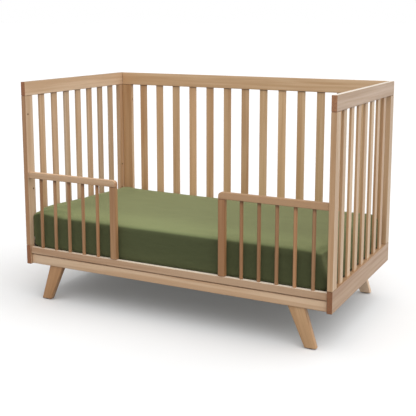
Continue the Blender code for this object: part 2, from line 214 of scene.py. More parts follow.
def mesh_object(name, bm):
    mesh = bpy.data.meshes.new(name)
    bm.to_mesh(mesh)
    bm.free()
    piece = bpy.data.objects.new(name, mesh)
    bpy.context.scene.collection.objects.link(piece)
    return piece


def apply_modifiers(piece):
    """The piece's mesh becomes what its modifiers make of it."""
    graph = bpy.context.evaluated_depsgraph_get()
    made = bpy.data.meshes.new_from_object(piece.evaluated_get(graph))
    piece.modifiers.clear()
    piece.data = made
    return piece


def shade(piece, angle=SMOOTH_ANGLE):
    piece.data.shade_smooth()
    piece.data.set_sharp_from_angle(angle=angle)
    return piece


def box(bm, low, high):
    centre = (Vector(low) + Vector(high)) / 2
    size = Vector(high) - Vector(low)
    matrix = Matrix.Translation(centre) @ Matrix.Diagonal((*size, 1.0))
    return bmesh.ops.create_cube(bm, size=1.0, matrix=matrix)["verts"]


def ease(piece, width, segments):
    bevel = piece.modifiers.new("eased_edges", "BEVEL")
    bevel.width = width
    bevel.segments = segments
    bevel.limit_method = "ANGLE"


def lathe(name, rings):
    """A turned piece: rings of (radius, height) from one end to the other, closed at both.
    A radius is a number, or a function of the angle for a ring that isn't round."""
    bm = bmesh.new()
    loops = []
    for radius, height in rings:
        loop = []
        for i in range(ROUND_SIDES):
            angle = 2 * math.pi * i / ROUND_SIDES
            r = radius(angle) if callable(radius) else radius
            loop.append(bm.verts.new((r * math.cos(angle), r * math.sin(angle), height)))
        loops.append(loop)
    for lower, upper in zip(loops, loops[1:]):
        for i in range(ROUND_SIDES):
            j = (i + 1) % ROUND_SIDES
            bm.faces.new((lower[i], lower[j], upper[j], upper[i]))
    bm.faces.new(list(reversed(loops[0])))
    bm.faces.new(loops[-1])
    bmesh.ops.recalc_face_normals(bm, faces=bm.faces)
    return shade(mesh_object(name, bm))


def tube(name, points, diameter, cyclic=False):
    """A round wire along these points, as a mesh."""
    curve = bpy.data.curves.new(name, "CURVE")
    curve.dimensions = "3D"
    curve.bevel_depth = diameter / 2
    curve.bevel_resolution = 1
    curve.use_fill_caps = True
    spline = curve.splines.new("POLY")
    spline.points.add(len(points) - 1)
    for target, point in zip(spline.points, points):
        target.co = (*point, 1.0)
    spline.use_cyclic_u = cyclic
    wire = bpy.data.objects.new(name, curve)
    bpy.context.scene.collection.objects.link(wire)
    graph = bpy.context.evaluated_depsgraph_get()
    mesh = bpy.data.meshes.new_from_object(wire.evaluated_get(graph))
    bpy.data.objects.remove(wire)
    mesh.shade_smooth()
    piece = bpy.data.objects.new(name, mesh)
    bpy.context.scene.collection.objects.link(piece)
    return piece


def rounded_outline(half_x, half_y, centre_y, corners, height, steps=8):
    """Points round a rectangle with round corners, from rear right through rear left."""
    points = []
    for quarter, (sx, sy) in enumerate(((1, 1), (-1, 1), (-1, -1), (1, -1))):
        corner = corners[quarter]
        for step in range(steps + 1):
            angle = math.pi / 2 * (quarter + step / steps)
            points.append(Vector((sx * (half_x - corner) + corner * math.cos(angle),
                                  centre_y + sy * (half_y - corner) + corner * math.sin(angle),
                                  height)))
    return points


def stand_on(piece, place, direction):
    """Puts a turned piece's own Z along this direction, at this place."""
    turn = Vector((0.0, 0.0, 1.0)).rotation_difference(Vector(direction))
    piece.matrix_world = Matrix.Translation(place) @ turn.to_matrix().to_4x4()


def finish_piece(piece, material, body):
    """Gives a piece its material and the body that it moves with."""
    piece.data.materials.clear()
    piece.data.materials.append(material)
    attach(piece, body)
    return piece


# ------------------------------------------------------------- materials


class Nodes:
    """A material's nodes, with short calls for those used here."""

    def __init__(self, name):
        self.material = bpy.data.materials.new(name)
        self.material.use_nodes = True
        self.tree = self.material.node_tree
        self.shader = self.tree.nodes["Principled BSDF"]
        self.coords = self.add("TexCoord")
        self.place = self.coords.outputs["Object"]

    def feed(self, socket, value):
        if isinstance(value, bpy.types.NodeSocket):
            self.tree.links.new(value, socket)
        else:
            socket.default_value = value

    def add(self, kind, inputs=(), **settings):
        node = self.tree.nodes.new("ShaderNode" + kind)
        for key, value in settings.items():
            setattr(node, key, value)
        for key, value in dict(inputs).items():
            self.feed(node.inputs[key], value)
        return node

    def math(self, operation, a, b=0.0):
        return self.add("Math", {0: a, 1: b}, operation=operation).outputs[0]

    def vector(self, operation, a, b=(0.0, 0.0, 0.0)):
        return self.add("VectorMath", {0: a, 1: b}, operation=operation).outputs[0]

    def noise(self, place, detail=2.0, roughness=0.5, distortion=0.0):
        """Noise with features about one unit across, from 0 to 1."""
        settings = {"Vector": place, "Scale": 1.0, "Detail": detail, "Roughness": roughness,
                    "Distortion": distortion}
        return self.add("TexNoise", settings).outputs["Fac"]

    def ramp(self, value, low, high, start=0.0, end=1.0):
        """From start to end as the value goes from low to high, with a soft beginning and end."""
        settings = {"Value": value, "From Min": low, "From Max": high, "To Min": start,
                    "To Max": end}
        return self.add("MapRange", settings, interpolation_type="SMOOTHSTEP").outputs[0]

    def mix(self, factor, a, b, blend="MIX"):
        node = self.add("Mix", data_type="RGBA", blend_type=blend)
        self.feed(node.inputs[0], factor)
        self.feed(node.inputs[6], a)
        self.feed(node.inputs[7], b)
        return node.outputs[2]

    def bump(self, height, distance, strength):
        node = self.add("Bump", {"Height": height, "Distance": distance, "Strength": strength})
        self.feed(self.shader.inputs["Normal"], node.outputs[0])

    def set(self, **values):
        for key, value in values.items():
            self.feed(self.shader.inputs[key.replace("_", " ")], value)


def rgb(red, green, blue):
    """A colour given as it looks on a screen, from 0 to 255."""
    def linear(part):
        part /= 255
        return part / 12.92 if part <= 0.04045 else ((part + 0.055) / 1.055) ** 2.4
    return (linear(red), linear(green), linear(blue), 1.0)


def scaled(colour, share):
    """The colour made darker or lighter."""
    return (*(share * part for part in colour[:3]), 1.0)


def long_grain(n, fibres, pale, deep):
    """The long faces of a board, from broad figure down to fine fibre. Returns their colour,
    the streaks and the relief."""
    figure = n.noise(fibres(16.0, 0.9), 2.0, 0.5, 0.6)
    streaks = n.noise(fibres(85.0, 2.2), 4.0, 0.6, 0.3)
    fibre = n.noise(fibres(900.0, 14.0), 2.0, 0.6)
    rays = n.noise(fibres(1300.0, 210.0), 1.0)
    depth = n.math("ADD", n.math("MULTIPLY", figure, 0.55), n.math("MULTIPLY", streaks, 0.45))
    face = n.mix(n.ramp(depth, 0.39, 0.61), pale, deep)
    face = n.mix(n.ramp(rays, 0.60, 0.72, 0.0, 0.30), face, scaled(deep, 0.55))
    face = n.mix(n.ramp(fibre, 0.35, 0.75, 0.0, 0.12), face, scaled(deep, 0.6))
    return face, streaks, n.math("ADD", fibre, n.math("MULTIPLY", rays, -0.6))


def end_grain(n, place, end):
    """The sawn ends of a board: growth rings and open pores."""
    rings = n.noise(n.vector("MULTIPLY", place, (260.0, 60.0, 200.0)), 2.0, 0.5, 1.2)
    pores = n.noise(n.vector("MULTIPLY", place, (1100.0,) * 3), 2.0)
    colour = n.mix(n.ramp(rings, 0.35, 0.65), end, scaled(end, 0.72))
    return n.mix(n.ramp(pores, 0.5, 0.7, 0.0, 0.35), colour, PORE_TONE)


def paint_face_light(n, face, painted_light):
    """Paints light and shade: tints the faces that look each way."""
    for direction, tint in painted_light:
        towards = n.add("VectorMath", {0: n.coords.outputs["Normal"], 1: direction},
                        operation="DOT_PRODUCT").outputs["Value"]
        tinted = n.mix(1.0, face, (*tint, 1.0), "MULTIPLY")
        face = n.mix(n.ramp(towards, 0.55, 0.85), face, tinted)
    return face


def paint_rail_shadow(n, face, height, reach, strength):
    """Paints shadow on the wood just below a rail."""
    level = n.add("SeparateXYZ", {0: n.coords.outputs["Object"]}).outputs[2]
    return n.mix(n.ramp(level, height - reach, height, 0.0, strength), face, RAIL_SHADOW_TONE)


def own_tint(n, colour, random):
    """Makes each board a little warmer or cooler, and a little lighter or darker."""
    other = n.math("FRACT", n.math("MULTIPLY", random, 7.31))
    colour = n.mix(1.0, colour, n.mix(other, WARM, COOL), "MULTIPLY")
    level = n.ramp(random, 0.0, 1.0, 0.93, 1.07)
    grey = n.add("CombineColor", {0: level, 1: level, 2: level}).outputs[0]
    return n.mix(1.0, colour, grey, "MULTIPLY")


def wood(name, grain, pale, deep, end, painted_light=(), rail_shadow=None, lean=0.0):
    """Beech under satin lacquer, with its grain along one axis, or leaning from it about Y.
    Each tone is a direction and a tint: painted light or shade on the faces that look that way.
    The rail shadow is a height, a reach and a strength: painted shadow just below a rail."""
    n = Nodes(name)
    if lean:
        n.place = n.add("Mapping", {"Vector": n.place, "Rotation": (0.0, lean, 0.0)}).outputs[0]
    random = n.add("ObjectInfo").outputs["Random"]
    spread = n.add("VectorMath", {0: (31.0, 17.0, 23.0), "Scale": random},
                   operation="SCALE").outputs[0]
    place = n.vector("ADD", n.place, spread)

    def fibres(across, along):
        """The place, scaled to so many features a metre across the grain and along it."""
        scale = [across, across, across]
        scale[grain] = along
        return n.vector("MULTIPLY", place, tuple(scale))

    face, streaks, relief = long_grain(n, fibres, pale, deep)
    # painted light and shade on the faces, by the way they look
    face = paint_face_light(n, face, painted_light)
    # painted shadow just below a rail
    if rail_shadow:
        face = paint_rail_shadow(n, face, *rail_shadow)
    parts = n.add("SeparateXYZ", {0: n.vector("ABSOLUTE", n.coords.outputs["Normal"])}).outputs
    colour = n.mix(n.ramp(parts[grain], 0.70, 0.90), face, end_grain(n, place, end))
    # Painted shade: eased edges are darkened.
    widest = n.math("MAXIMUM", parts[0], n.math("MAXIMUM", parts[1], parts[2]))
    edge = n.math("MULTIPLY", n.ramp(widest, 0.985, 0.93), n.noise(fibres(40.0, 9.0), 3.0))
    shaded_edge_colour = n.mix(1.0, colour, EDGE_SHADE_TONE, "MULTIPLY")
    colour = n.mix(n.math("MULTIPLY", edge, EDGE_SHADE_SHARE), colour, shaded_edge_colour)
    rough = n.math("ADD", n.ramp(streaks, 0.3, 0.7, 0.38, 0.47), n.math("MULTIPLY", edge, 0.10))
    n.set(Base_Color=own_tint(n, colour, random), Roughness=rough, Coat_Weight=0.15,
          Coat_Roughness=0.25, Specular_IOR_Level=0.3)
    n.bump(relief, 0.00012, 0.5)
    return n.material


def steel(name, base, roughness):
    """Powder-coated steel with a fine orange peel."""
    n = Nodes(name)
    cloud = n.noise(n.vector("MULTIPLY", n.place, (14.0,) * 3), 3.0)
    grit = n.noise(n.vector("MULTIPLY", n.place, (1600.0,) * 3), 2.0)
    colour = n.mix(n.ramp(cloud, 0.3, 0.7), base, scaled(base, 0.86))
    n.set(Base_Color=colour, Metallic=0.55,
          Roughness=n.ramp(cloud, 0.3, 0.7, roughness - 0.05, roughness + 0.07))
    n.bump(grit, 0.00015, 0.5)
    return n.material


def zinc(name, base, roughness):
    """Bright plated metal with fine marks from turning."""
    n = Nodes(name)
    marks = n.noise(n.vector("MULTIPLY", n.place, (400.0, 400.0, 9000.0)), 2.0)
    spots = n.noise(n.vector("MULTIPLY", n.place, (260.0,) * 3), 3.0)
    colour = n.mix(n.ramp(spots, 0.4, 0.7), base, scaled(base, 0.7))
    n.set(Base_Color=colour, Metallic=1.0,
          Roughness=n.ramp(marks, 0.3, 0.7, roughness, roughness + 0.12))
    n.bump(marks, 0.00005, 0.4)
    return n.material


def cotton(name, base):
    """Plain-woven cotton: threads along each axis, slubs, and a soft sheen. Upright faces are
    darker, painted shade, and the top is paler towards the front, a painted highlight."""
    n = Nodes(name)
    threads = n.vector("SINE", n.vector("MULTIPLY", n.place, (8500.0,) * 3))
    thread = n.add("SeparateXYZ", {0: threads}).outputs
    weave = n.math("ADD", thread[0], n.math("ADD", thread[1], thread[2]))
    slubs = n.noise(n.vector("MULTIPLY", n.place, (40.0, 900.0, 900.0)), 2.0)
    cross_slubs = n.noise(n.vector("MULTIPLY", n.place, (900.0, 60.0, 60.0)), 2.0)
    cloud = n.noise(n.vector("MULTIPLY", n.place, (5.0,) * 3), 3.0)
    colour = n.mix(n.ramp(slubs, 0.40, 0.72, 0.0, 0.30), base, scaled(base, 1.30))
    colour = n.mix(n.ramp(cross_slubs, 0.42, 0.74, 0.0, 0.26), colour, scaled(base, 0.74))
    colour = n.mix(n.ramp(weave, -2.0, 2.0, 0.14, 0.0), colour, scaled(base, 0.55))
    colour = n.mix(n.ramp(cloud, 0.3, 0.7, 0.0, 0.12), colour, scaled(base, 0.86))
    # Painted shade: upright faces are darker.
    normal = n.add("SeparateXYZ", {0: n.vector("ABSOLUTE", n.coords.outputs["Normal"])}).outputs
    level = n.ramp(normal[2], 0.35, 0.90)
    colour = n.mix(level, n.mix(1.0, colour, UPRIGHT_SHADE_TINT, "MULTIPLY"), colour)
    # Painted highlight: the top is paler towards the front.
    spot = n.add("SeparateXYZ", {0: n.place}).outputs
    front_highlight = n.math("MULTIPLY", level, n.ramp(spot[1], -0.08, -0.34, 0.0, 0.80))
    colour = n.mix(front_highlight, colour, scaled(base, 2.1))
    n.set(Base_Color=colour, Roughness=n.ramp(slubs, 0.3, 0.8, 0.92, 0.78), Sheen_Weight=0.6,
          Sheen_Roughness=0.5, Sheen_Tint=SHEEN_TINT, Specular_IOR_Level=0.25)
    height = n.math("ADD", n.math("MULTIPLY", weave, 0.5), n.math("MULTIPLY", slubs, 1.5))
    n.bump(height, 0.00016, 0.6)
    return n.material


def quilted(name, base):
    """The mattress's own cover: white knit stitched in diamonds."""
    n = Nodes(name)
    turned = n.add("Mapping", {"Vector": n.place,
                               "Rotation": (0.0, 0.0, math.radians(45))}).outputs[0]
    waves = n.vector("ABSOLUTE", n.vector("SINE", n.vector("MULTIPLY", turned, (52.0, 52.0, 0.0))))
    wave = n.add("SeparateXYZ", {0: waves}).outputs
    pillow = n.ramp(n.math("MINIMUM", wave[0], wave[1]), 0.0, 0.45)
    knit = n.noise(n.vector("MULTIPLY", n.place, (1500.0, 900.0, 1500.0)), 2.0)
    # Painted shade: the cover is darker along its stitched dips.
    colour = n.mix(pillow, scaled(base, 0.80), base)
    colour = n.mix(n.ramp(knit, 0.4, 0.7, 0.0, 0.10), colour, scaled(base, 0.7))
    n.set(Base_Color=colour, Roughness=n.ramp(knit, 0.3, 0.7, 0.72, 0.86), Sheen_Weight=0.1)
    n.bump(n.math("ADD", pillow, n.math("MULTIPLY", knit, 0.08)), 0.002, 0.6)
    return n.material


def nylon(name, base):
    """Moulded nylon with a faint mottle."""
    n = Nodes(name)
    mottle = n.noise(n.vector("MULTIPLY", n.place, (300.0,) * 3), 3.0)
    n.set(Base_Color=n.mix(n.ramp(mottle, 0.35, 0.7), base, scaled(base, 0.8)),
          Roughness=n.ramp(mottle, 0.3, 0.7, 0.45, 0.6))
    n.bump(mottle, 0.0001, 0.4)
    return n.material


# ------------------------------------------------------------ wooden frame


def beech(name, pale, deep, end, painted_light=(), rail_shadow=None):
    """The same beech three times, with its grain along X, Y and Z."""
    return [wood(f"beech_{name}_{axis}", i, pale, deep, end, painted_light, rail_shadow)
            for i, axis in enumerate("xyz")]


def end_frame_beeches():
    """Words in the end boards' names, each with its beech, the most exact first."""
    # The left end's boards are paler and the right end's darker, painted light that evens out how
    # the light falls on them.
    sawn = rgb(162, 108, 72)
    # Tints by facing paint light and shade: darker fronts and tops on the left end, a painted
    # highlight on the right end's top rail.
    left_top_shade = ((FRONT, (0.84, 0.75, 0.66)), (UP, (0.52, 0.48, 0.38)))
    return (
        ("left_end_front", beech("left_stile", rgb(224, 197, 168), rgb(204, 171, 137), sawn,
                                 ((FRONT, (0.70, 0.53, 0.40)),))),
        ("left_end_rear", beech("left_rear", rgb(209, 178, 146), rgb(188, 152, 116), sawn)),
        ("left_end_bottom", beech("left_bottom", rgb(204, 173, 143), rgb(184, 149, 115),
                                  rgb(162, 106, 67))),
        ("left_end_slat", beech("left_slat", rgb(207, 180, 150), rgb(188, 155, 121), sawn,
                                rail_shadow=SLAT_RAIL_SHADOW)),
        ("left_end_top", beech("left_end", rgb(224, 192, 160), rgb(204, 167, 131),
                               rgb(176, 116, 77), left_top_shade)),
        ("right_end_slat", beech("right_slat", rgb(213, 183, 147), rgb(194, 158, 120), sawn,
                                 ((FRONT, (0.96, 0.87, 0.81)),), SLAT_RAIL_SHADOW)),
        ("right_end_bottom", beech("right_bottom", rgb(175, 145, 114), rgb(158, 123, 91),
                                   rgb(151, 104, 71))),
        ("right_end_top", beech("right_top", rgb(190, 165, 141), rgb(171, 143, 115),
                                rgb(185, 134, 97), ((UP, (1.62, 2.15, 2.85)),))),
        ("right_end", beech("right_end", rgb(210, 180, 145), rgb(191, 155, 118), sawn,
                            ((FRONT, (1.03, 0.93, 0.86)),))))


def back_beeches():
    """The same for the back panel, whose right-hand slats are paler as painted light."""
    sawn = rgb(158, 104, 68)
    slat = beech("back_slat", rgb(217, 183, 144), rgb(196, 155, 114), sawn, rail_shadow=SLAT_RAIL_SHADOW)
    pale = beech("brightened_slat", rgb(230, 194, 151), rgb(208, 165, 120), sawn, rail_shadow=SLAT_RAIL_SHADOW)
    brightened_slats = tuple((f"back_slat_{number}", pale) for number in range(8, 14))
    return brightened_slats + (
        ("back_slat", slat),
        # Tints by facing paint shade: darker fronts on the stiles and darker tops on the rails.
        ("stile", beech("back_stile", rgb(226, 190, 150), rgb(206, 164, 121), sawn,
                        ((FRONT, (0.83, 0.75, 0.65)),))),
        ("back", beech("back", rgb(228, 193, 154), rgb(208, 167, 125), sawn,
                       ((UP, (0.68, 0.70, 0.76)),))))


def guard_beeches():
    """The same for the guard rail along the front."""
    sawn = rgb(192, 148, 112)
    return (
        # Tints by facing paint light: a pale highlight on the bottom rail's top, and darker tops
        # on the right guard.
        ("guard_bottom", beech("rail", rgb(207, 177, 147), rgb(189, 152, 120),
                               rgb(152, 102, 70), ((UP, (1.60, 2.10, 2.75)),))),
        ("guard_left_top", beech("left_guard", rgb(205, 175, 143), rgb(184, 149, 117), sawn)),
        ("spindle", beech("spindle", rgb(189, 145, 106), rgb(166, 123, 86), rgb(140, 98, 72),
                          rail_shadow=SPINDLE_RAIL_SHADOW)),
        ("post", beech("post", rgb(184, 141, 100), rgb(161, 117, 80), rgb(150, 104, 76))),
        ("guard", beech("right_guard", rgb(198, 157, 119), rgb(176, 132, 96), sawn,
                        ((UP, (0.84, 0.84, 0.76)),))))


def leg_beeches():
    """Each leg's beech, with its grain along the leg. The rear right one is paler, painted light.
    """
    colours = {"front_left": (rgb(192, 147, 105), rgb(168, 122, 82)),
               "front_right": (rgb(215, 181, 141), rgb(193, 154, 114)),
               "rear_left": (rgb(210, 173, 131), rgb(188, 147, 106)),
               "rear_right": (rgb(234, 207, 179), rgb(212, 182, 151))}
    return {corner: wood(f"beech_{corner}_leg", 2, pale, deep, rgb(150, 104, 76),
                         lean=-LEG_LEAN if corner.endswith("left") else LEG_LEAN)
            for corner, (pale, deep) in colours.items()}


def longest_axis(node):
    low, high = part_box(node)
    size = high - low
    return max(range(3), key=lambda axis: size[axis])


def dress_frame(frame):
    """Every wooden CAD node takes the first beech whose word is in its name, with the grain
    along the board."""
    beeches = guard_beeches() + end_frame_beeches() + back_beeches()
    for name, node in frame["nodes"].items():
        for word, woods in beeches:
            if word in name:
                node.material_slots[0].material = woods[longest_axis(name)]
                break


def apron(side, facing, node):
    """The board between the end frames that carries two legs."""
    low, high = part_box(node)
    outer_y = high.y if facing > 0 else low.y
    inner_y = outer_y - facing * APRON_THICKNESS
    bm = bmesh.new()
    near_y, far_y = sorted((outer_y, inner_y))
    box(bm, (low.x, near_y, high.z - APRON_HEIGHT), (high.x, far_y, high.z))
    piece = mesh_object(f"{side}_apron", bm)
    ease(piece, BOARD_EDGE, 3)
    shade(apply_modifiers(piece))
    finish_piece(piece, apron_beech[0], "crib_frame")
    return piece, outer_y, inner_y, high.z - APRON_HEIGHT


def leg_corner(edge, height, apron_base):
    """Distance from the middle to the leg's inner (0) or outer (1) edge at this height."""
    share = height / apron_base
    return LEG_FOOT[edge] + (LEG_TOP[edge] - LEG_FOOT[edge]) * share


def lap_notch(name, outer_y, inner_y, facing, base, top):
    """The cutter that lets a leg lap behind its apron."""
    reach = LEG_FOOT[1] + CUT_PAST
    front_y, back_y = sorted((outer_y + facing * CUT_PAST, inner_y - facing * GAP))
    bm = bmesh.new()
    box(bm, (-reach, front_y, base - GAP), (reach, back_y, top + CUT_PAST))
    return mesh_object(name, bm)


def leg(corner, side, facing, outer_y, inner_y, base):
    """One splayed leg, lapped up behind its apron."""
    front = outer_y - facing * LEG_STEP
    back = front - facing * LEG_THICKNESS
    top = base + LEG_LAP
    bm = bmesh.new()
    for vert in box(bm, (-0.5, 0.0, 0.0), (0.5, 1.0, 1.0)):
        edge = 1 if vert.co.x * side > 0 else 0
        height = top if vert.co.z > 0.5 else GLIDE_HEIGHT
        y = front if vert.co.y > 0.5 else back
        vert.co = (side * leg_corner(edge, height, base), y, height)
    bmesh.ops.recalc_face_normals(bm, faces=bm.faces)
    piece = mesh_object(corner + "_leg", bm)
    ease(piece, LEG_EDGE, 4)
    notch = lap_notch(corner + "_leg_notch", outer_y, inner_y, facing, base, top)
    cut = piece.modifiers.new("lap", "BOOLEAN")
    cut.operation = "DIFFERENCE"
    cut.object = notch
    apply_modifiers(piece)
    bpy.data.objects.remove(notch)
    shade(piece)
    return finish_piece(piece, leg_beech[corner], "crib_frame")


def glide(name, place):
    """A round nylon foot pad with a nail hole."""
    piece = lathe(name, [(0.0085, GLIDE_HEIGHT - GAP), (0.0092, GLIDE_HEIGHT - 0.001),
                         (0.0088, 0.0004), (0.0078, 0.0), (0.0034, 0.0), (0.0030, 0.0006),
                         (0.0010, 0.0006)])
    piece.location = place
    finish_piece(piece, glide_nylon, "crib_frame")


def leg_frames():
    """An apron with its two legs and their glides, at the front and at the rear."""
    for end, facing in (("front", -1), ("rear", 1)):
        node = end + "_leg_frame"
        board, outer_y, inner_y, base = apron(end, facing, node)
        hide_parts(node)
        for hand, side in (("left", -1), ("right", 1)):
            corner = f"{end}_{hand}"
            piece = leg(corner, side, facing, outer_y, inner_y, base)
            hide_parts(node)
            foot_x = side * (LEG_FOOT[0] + LEG_FOOT[1]) / 2
            foot_y = outer_y - facing * (LEG_STEP + LEG_THICKNESS / 2)
            glide(corner + "_leg_glide", (foot_x, foot_y, 0.0))


# --------------------------------------------------------------- hardware


def hex_radius(apothem):
    """The edge of a hexagon, as a radius at each angle."""
    def radius(angle):
        turned = angle % (math.pi / 3) - math.pi / 6
        return apothem / math.cos(turned)
    return radius


def insert(name, mouth, direction):
    """A threaded insert, sunk just below the mouth of its blind hole."""
    outer = HOLE_DIAMETER / 2 - GAP
    bore = INSERT_BORE / 2
    piece = lathe(name, [(outer, 0.011), (outer, 0.0012), (outer - 0.0003, 0.0009),
                         (bore + 0.0005, 0.0009), (bore, 0.0014), (bore, 0.0100)])
    stand_on(piece, mouth, direction)
    finish_piece(piece, brass, "crib_frame")


def bolt(name, place, direction, size, body):
    """A button-head bolt with a hexagon socket. Its head's underside is at the place."""
    head, shank = size[0] / 2, size[1]
    socket = hex_radius(0.0020)
    rings = [(0.0024, shank), (0.0028, shank - 0.0006), (0.0028, 0.0), (head, 0.0),
             (head, -0.0006), (head - 0.0008, -0.0013), (head - 0.0022, -0.0019),
             (socket, -0.0020), (socket, -0.0006), (0.0004, -0.0004)]
    piece = lathe(name, rings)
    stand_on(piece, place, direction)
    finish_piece(piece, bolt_zinc, body)


def hardware():
    """Inserts in the bolt holes, and the bolts that hold the support and the back panel."""
    inner_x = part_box("right_end_front_stile")[0].x
    panel_y = sum(v.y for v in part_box("guard_bottom_rail")) / 2
    plate_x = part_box("support_frame")[1].x
    for hand, side in (("left", -1), ("right", 1)):
        outward = (side, 0.0, 0.0)
        insert(f"{hand}_front_panel_insert", (side * inner_x, panel_y, FRONT_PANEL_BOLT), outward)
        for end, facing in (("front", -1), ("rear", 1)):
            for step, height in enumerate(SUPPORT_BOLTS, start=1):
                mouth = (side * inner_x, facing * BOLT_LINE, height)
                insert(f"{hand}_{end}_insert_{step}", mouth, outward)
            place = (side * (plate_x - HANGER_PLATE - GAP), facing * BOLT_LINE, SUPPORT_BOLTS[0])
            bolt(f"{hand}_{end}_support_bolt", place, outward, SUPPORT_BOLT, "support")
        low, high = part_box(f"back_{hand}_stile")
        edge_x = low.x if side > 0 else high.x
        for step, height in enumerate(BACK_PANEL_BOLTS, start=1):
            place = (edge_x + side * COUNTERBORE, (low.y + high.y) / 2, height)
            bolt(f"back_{hand}_bolt_{step}", place, outward, PANEL_BOLT, "crib_frame")


# --------------------------------------------------------------- wire deck


def spring_points(length):
    """A coil with a straight tail at each end, along X from 0."""
    tail = 0.15 * length
    per_turn = 10
    count = SPRING_TURNS * per_turn
    radius = (SPRING_DIAMETER - SPRING_WIRE) / 2
    points = [Vector((0.0, 0.0, 0.0))]
    for i in range(count + 1):
        angle = 2 * math.pi * i / per_turn
        x = tail + (length - 2 * tail) * i / count
        points.append(Vector((x, radius * math.cos(angle), radius * math.sin(angle))))
    points.append(Vector((length, 0.0, 0.0)))
    return points


def spring(name, start, direction):
    """A coil spring from the deck's border out to the ring."""
    piece = tube(name, spring_points(SPRING_LENGTH), SPRING_WIRE)
    turn = Vector((1.0, 0.0, 0.0)).rotation_difference(Vector(direction)).to_matrix().to_4x4()
    piece.matrix_world = Matrix.Translation(start) @ turn
    finish_piece(piece, wire_zinc, "support")


def deck_wire(name, points, diameter, cyclic=False):
    """One plated wire of the deck, which moves with the support."""
    wire = tube(name, points, diameter, cyclic)
    return finish_piece(wire, wire_zinc, "support")


def wire_deck():
    """A border wire, wires both ways, and coil springs out to the steel ring."""
    low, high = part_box("spring_deck")
    middle = (low + high) / 2
    half_x = (high.x - low.x) / 2 - SPRING_LENGTH
    half_y = (high.y - low.y) / 2 - SPRING_LENGTH
    front_y, rear_y = middle.y - half_y, middle.y + half_y
    z = high.z - SPRING_DIAMETER / 2
    over = z + WIRE
    outline = rounded_outline(half_x, half_y, middle.y, (BORDER_CORNER,) * 4, z)
    border = deck_wire("deck_border", outline, BORDER_WIRE, cyclic=True)
    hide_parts("spring_deck")
    for i in range(1, LONG_WIRES + 1):
        y = front_y + (rear_y - front_y) * i / (LONG_WIRES + 1)
        line = [(-half_x, y, z), (-half_x + WIRE_RISE, y, over), (half_x - WIRE_RISE, y, over),
                (half_x, y, z)]
        deck_wire(f"deck_long_wire_{i}", line, WIRE)
        for hand, side in (("left", -1), ("right", 1)):
            spring(f"deck_end_spring_{hand}_{i}", (side * half_x, y, z), (side, 0.0, 0.0))
    for i in range(1, CROSS_WIRES + 1):
        x = half_x * (2 * i / (CROSS_WIRES + 1) - 1)
        deck_wire(f"deck_cross_wire_{i}", [(x, front_y, z), (x, rear_y, z)], WIRE)
        for end, y, facing in (("front", front_y, -1), ("rear", rear_y, 1)):
            spring(f"deck_side_spring_{end}_{i}", (x, y, z), (0.0, facing, 0.0))


# ----------------------------------------------------- mattress and sheet


def pad_block(low, high):
    """The foam block: a tight bottom edge, a rounder top edge, and upright corners that grow
    rounder where an edge curves in. It is remeshed in even quads for the cloth."""
    half = (high - low) / 2
    steps = [math.radians(angle) for angle in (0, 30, 60, 90)]
    bottom = [(low.z + PAD_BOTTOM_EDGE * (1 - math.cos(angle)),
               PAD_BOTTOM_EDGE * (1 - math.sin(angle))) for angle in steps]
    top = [(high.z - PAD_TOP_EDGE * (1 - math.sin(angle)),
            PAD_TOP_EDGE * (1 - math.cos(angle))) for angle in steps]
    bm = bmesh.new()
    loops = []
    for height, inset in bottom + top:
        corners = [corner + CORNER_GROWTH * inset for corner in PAD_CORNERS]
        outline = rounded_outline(half.x - inset, half.y - inset, (low.y + high.y) / 2, corners,
                                  height)
        loops.append([bm.verts.new(point) for point in outline])
    for lower, upper in zip(loops, loops[1:]):
        for i in range(len(lower)):
            j = (i + 1) % len(lower)
            bm.faces.new((lower[i], lower[j], upper[j], upper[i]))
    bm.faces.new(list(reversed(loops[0])))
    bm.faces.new(loops[-1])
    piece = mesh_object("mattress_core", bm)
    remesh = piece.modifiers.new("voxels", "REMESH")
    remesh.mode = "VOXEL"
    remesh.voxel_size = VOXEL
    return apply_modifiers(piece)


def swell(piece):
    """Cloth under air pressure rounds the pad off, with no point moved further than the cap."""
    start = [v.co.copy() for v in piece.data.vertices]
    cloth = piece.modifiers.new("air", "CLOTH")
    cloth.settings.use_pressure = True
    cloth.settings.uniform_pressure_force = AIR_PRESSURE
    cloth.settings.effector_weights.gravity = 0.0
    scene = bpy.context.scene
    for frame in range(1, CLOTH_FRAMES + 1):
        scene.frame_set(frame)
    apply_modifiers(piece)
    scene.frame_set(1)
    for vert, before in zip(piece.data.vertices, start):
        move = vert.co - before
        vert.co = before + move * min(1.0, MOST_SWELL / max(move.length, 1e-9))


def smooth_step(value, low, high):
    share = min(1.0, max(0.0, (value - low) / (high - low)))
    return share * share * (3 - 2 * share)


def fold_depth(point, normal, low, high):
    """How far the sheet stands in or out here: faint folds, and fans from the corners."""
    middle = (low + high) / 2
    half = (high - low) / 2
    upright = 1.0 - abs(normal.z)
    height = (point.z - low.z) / (high.z - low.z)
    along = point.x if abs(normal.y) > abs(normal.x) else point.y + 3.0
    side = SIDE_FOLDS[0] * noise.noise(Vector((along * 5.0, height * 7.0, 2.0)))
    side += SIDE_FOLDS[1] * noise.noise(Vector((along * 11.0, height * 13.0, 7.0)))
    side *= upright * (1.0 - 0.6 * smooth_step(height, 0.7, 1.0))
    top = TOP_FOLDS[0] * noise.noise(Vector((point.x * 3.5, point.y * 5.0, 4.0)))
    top += TOP_FOLDS[1] * noise.noise(Vector((point.x * 9.0, point.y * 26.0, 9.0)))
    corner = Vector((math.copysign(half.x, point.x - middle.x) + middle.x,
                     math.copysign(half.y, point.y - middle.y) + middle.y, 0.0))
    away = Vector((point.x, point.y, 0.0)) - corner
    angle = math.atan2(abs(away.y), abs(away.x))
    reach = math.exp(-away.length / FAN_REACH) * smooth_step(away.length, 0.01, 0.05)
    wander = 3.0 * noise.noise(corner * 9.0 + away * 8.0)
    fan = FAN_FOLDS * math.sin(13.0 * angle + wander) * reach
    return side + (top + fan) * smooth_step(normal.z, 0.2, 0.9)


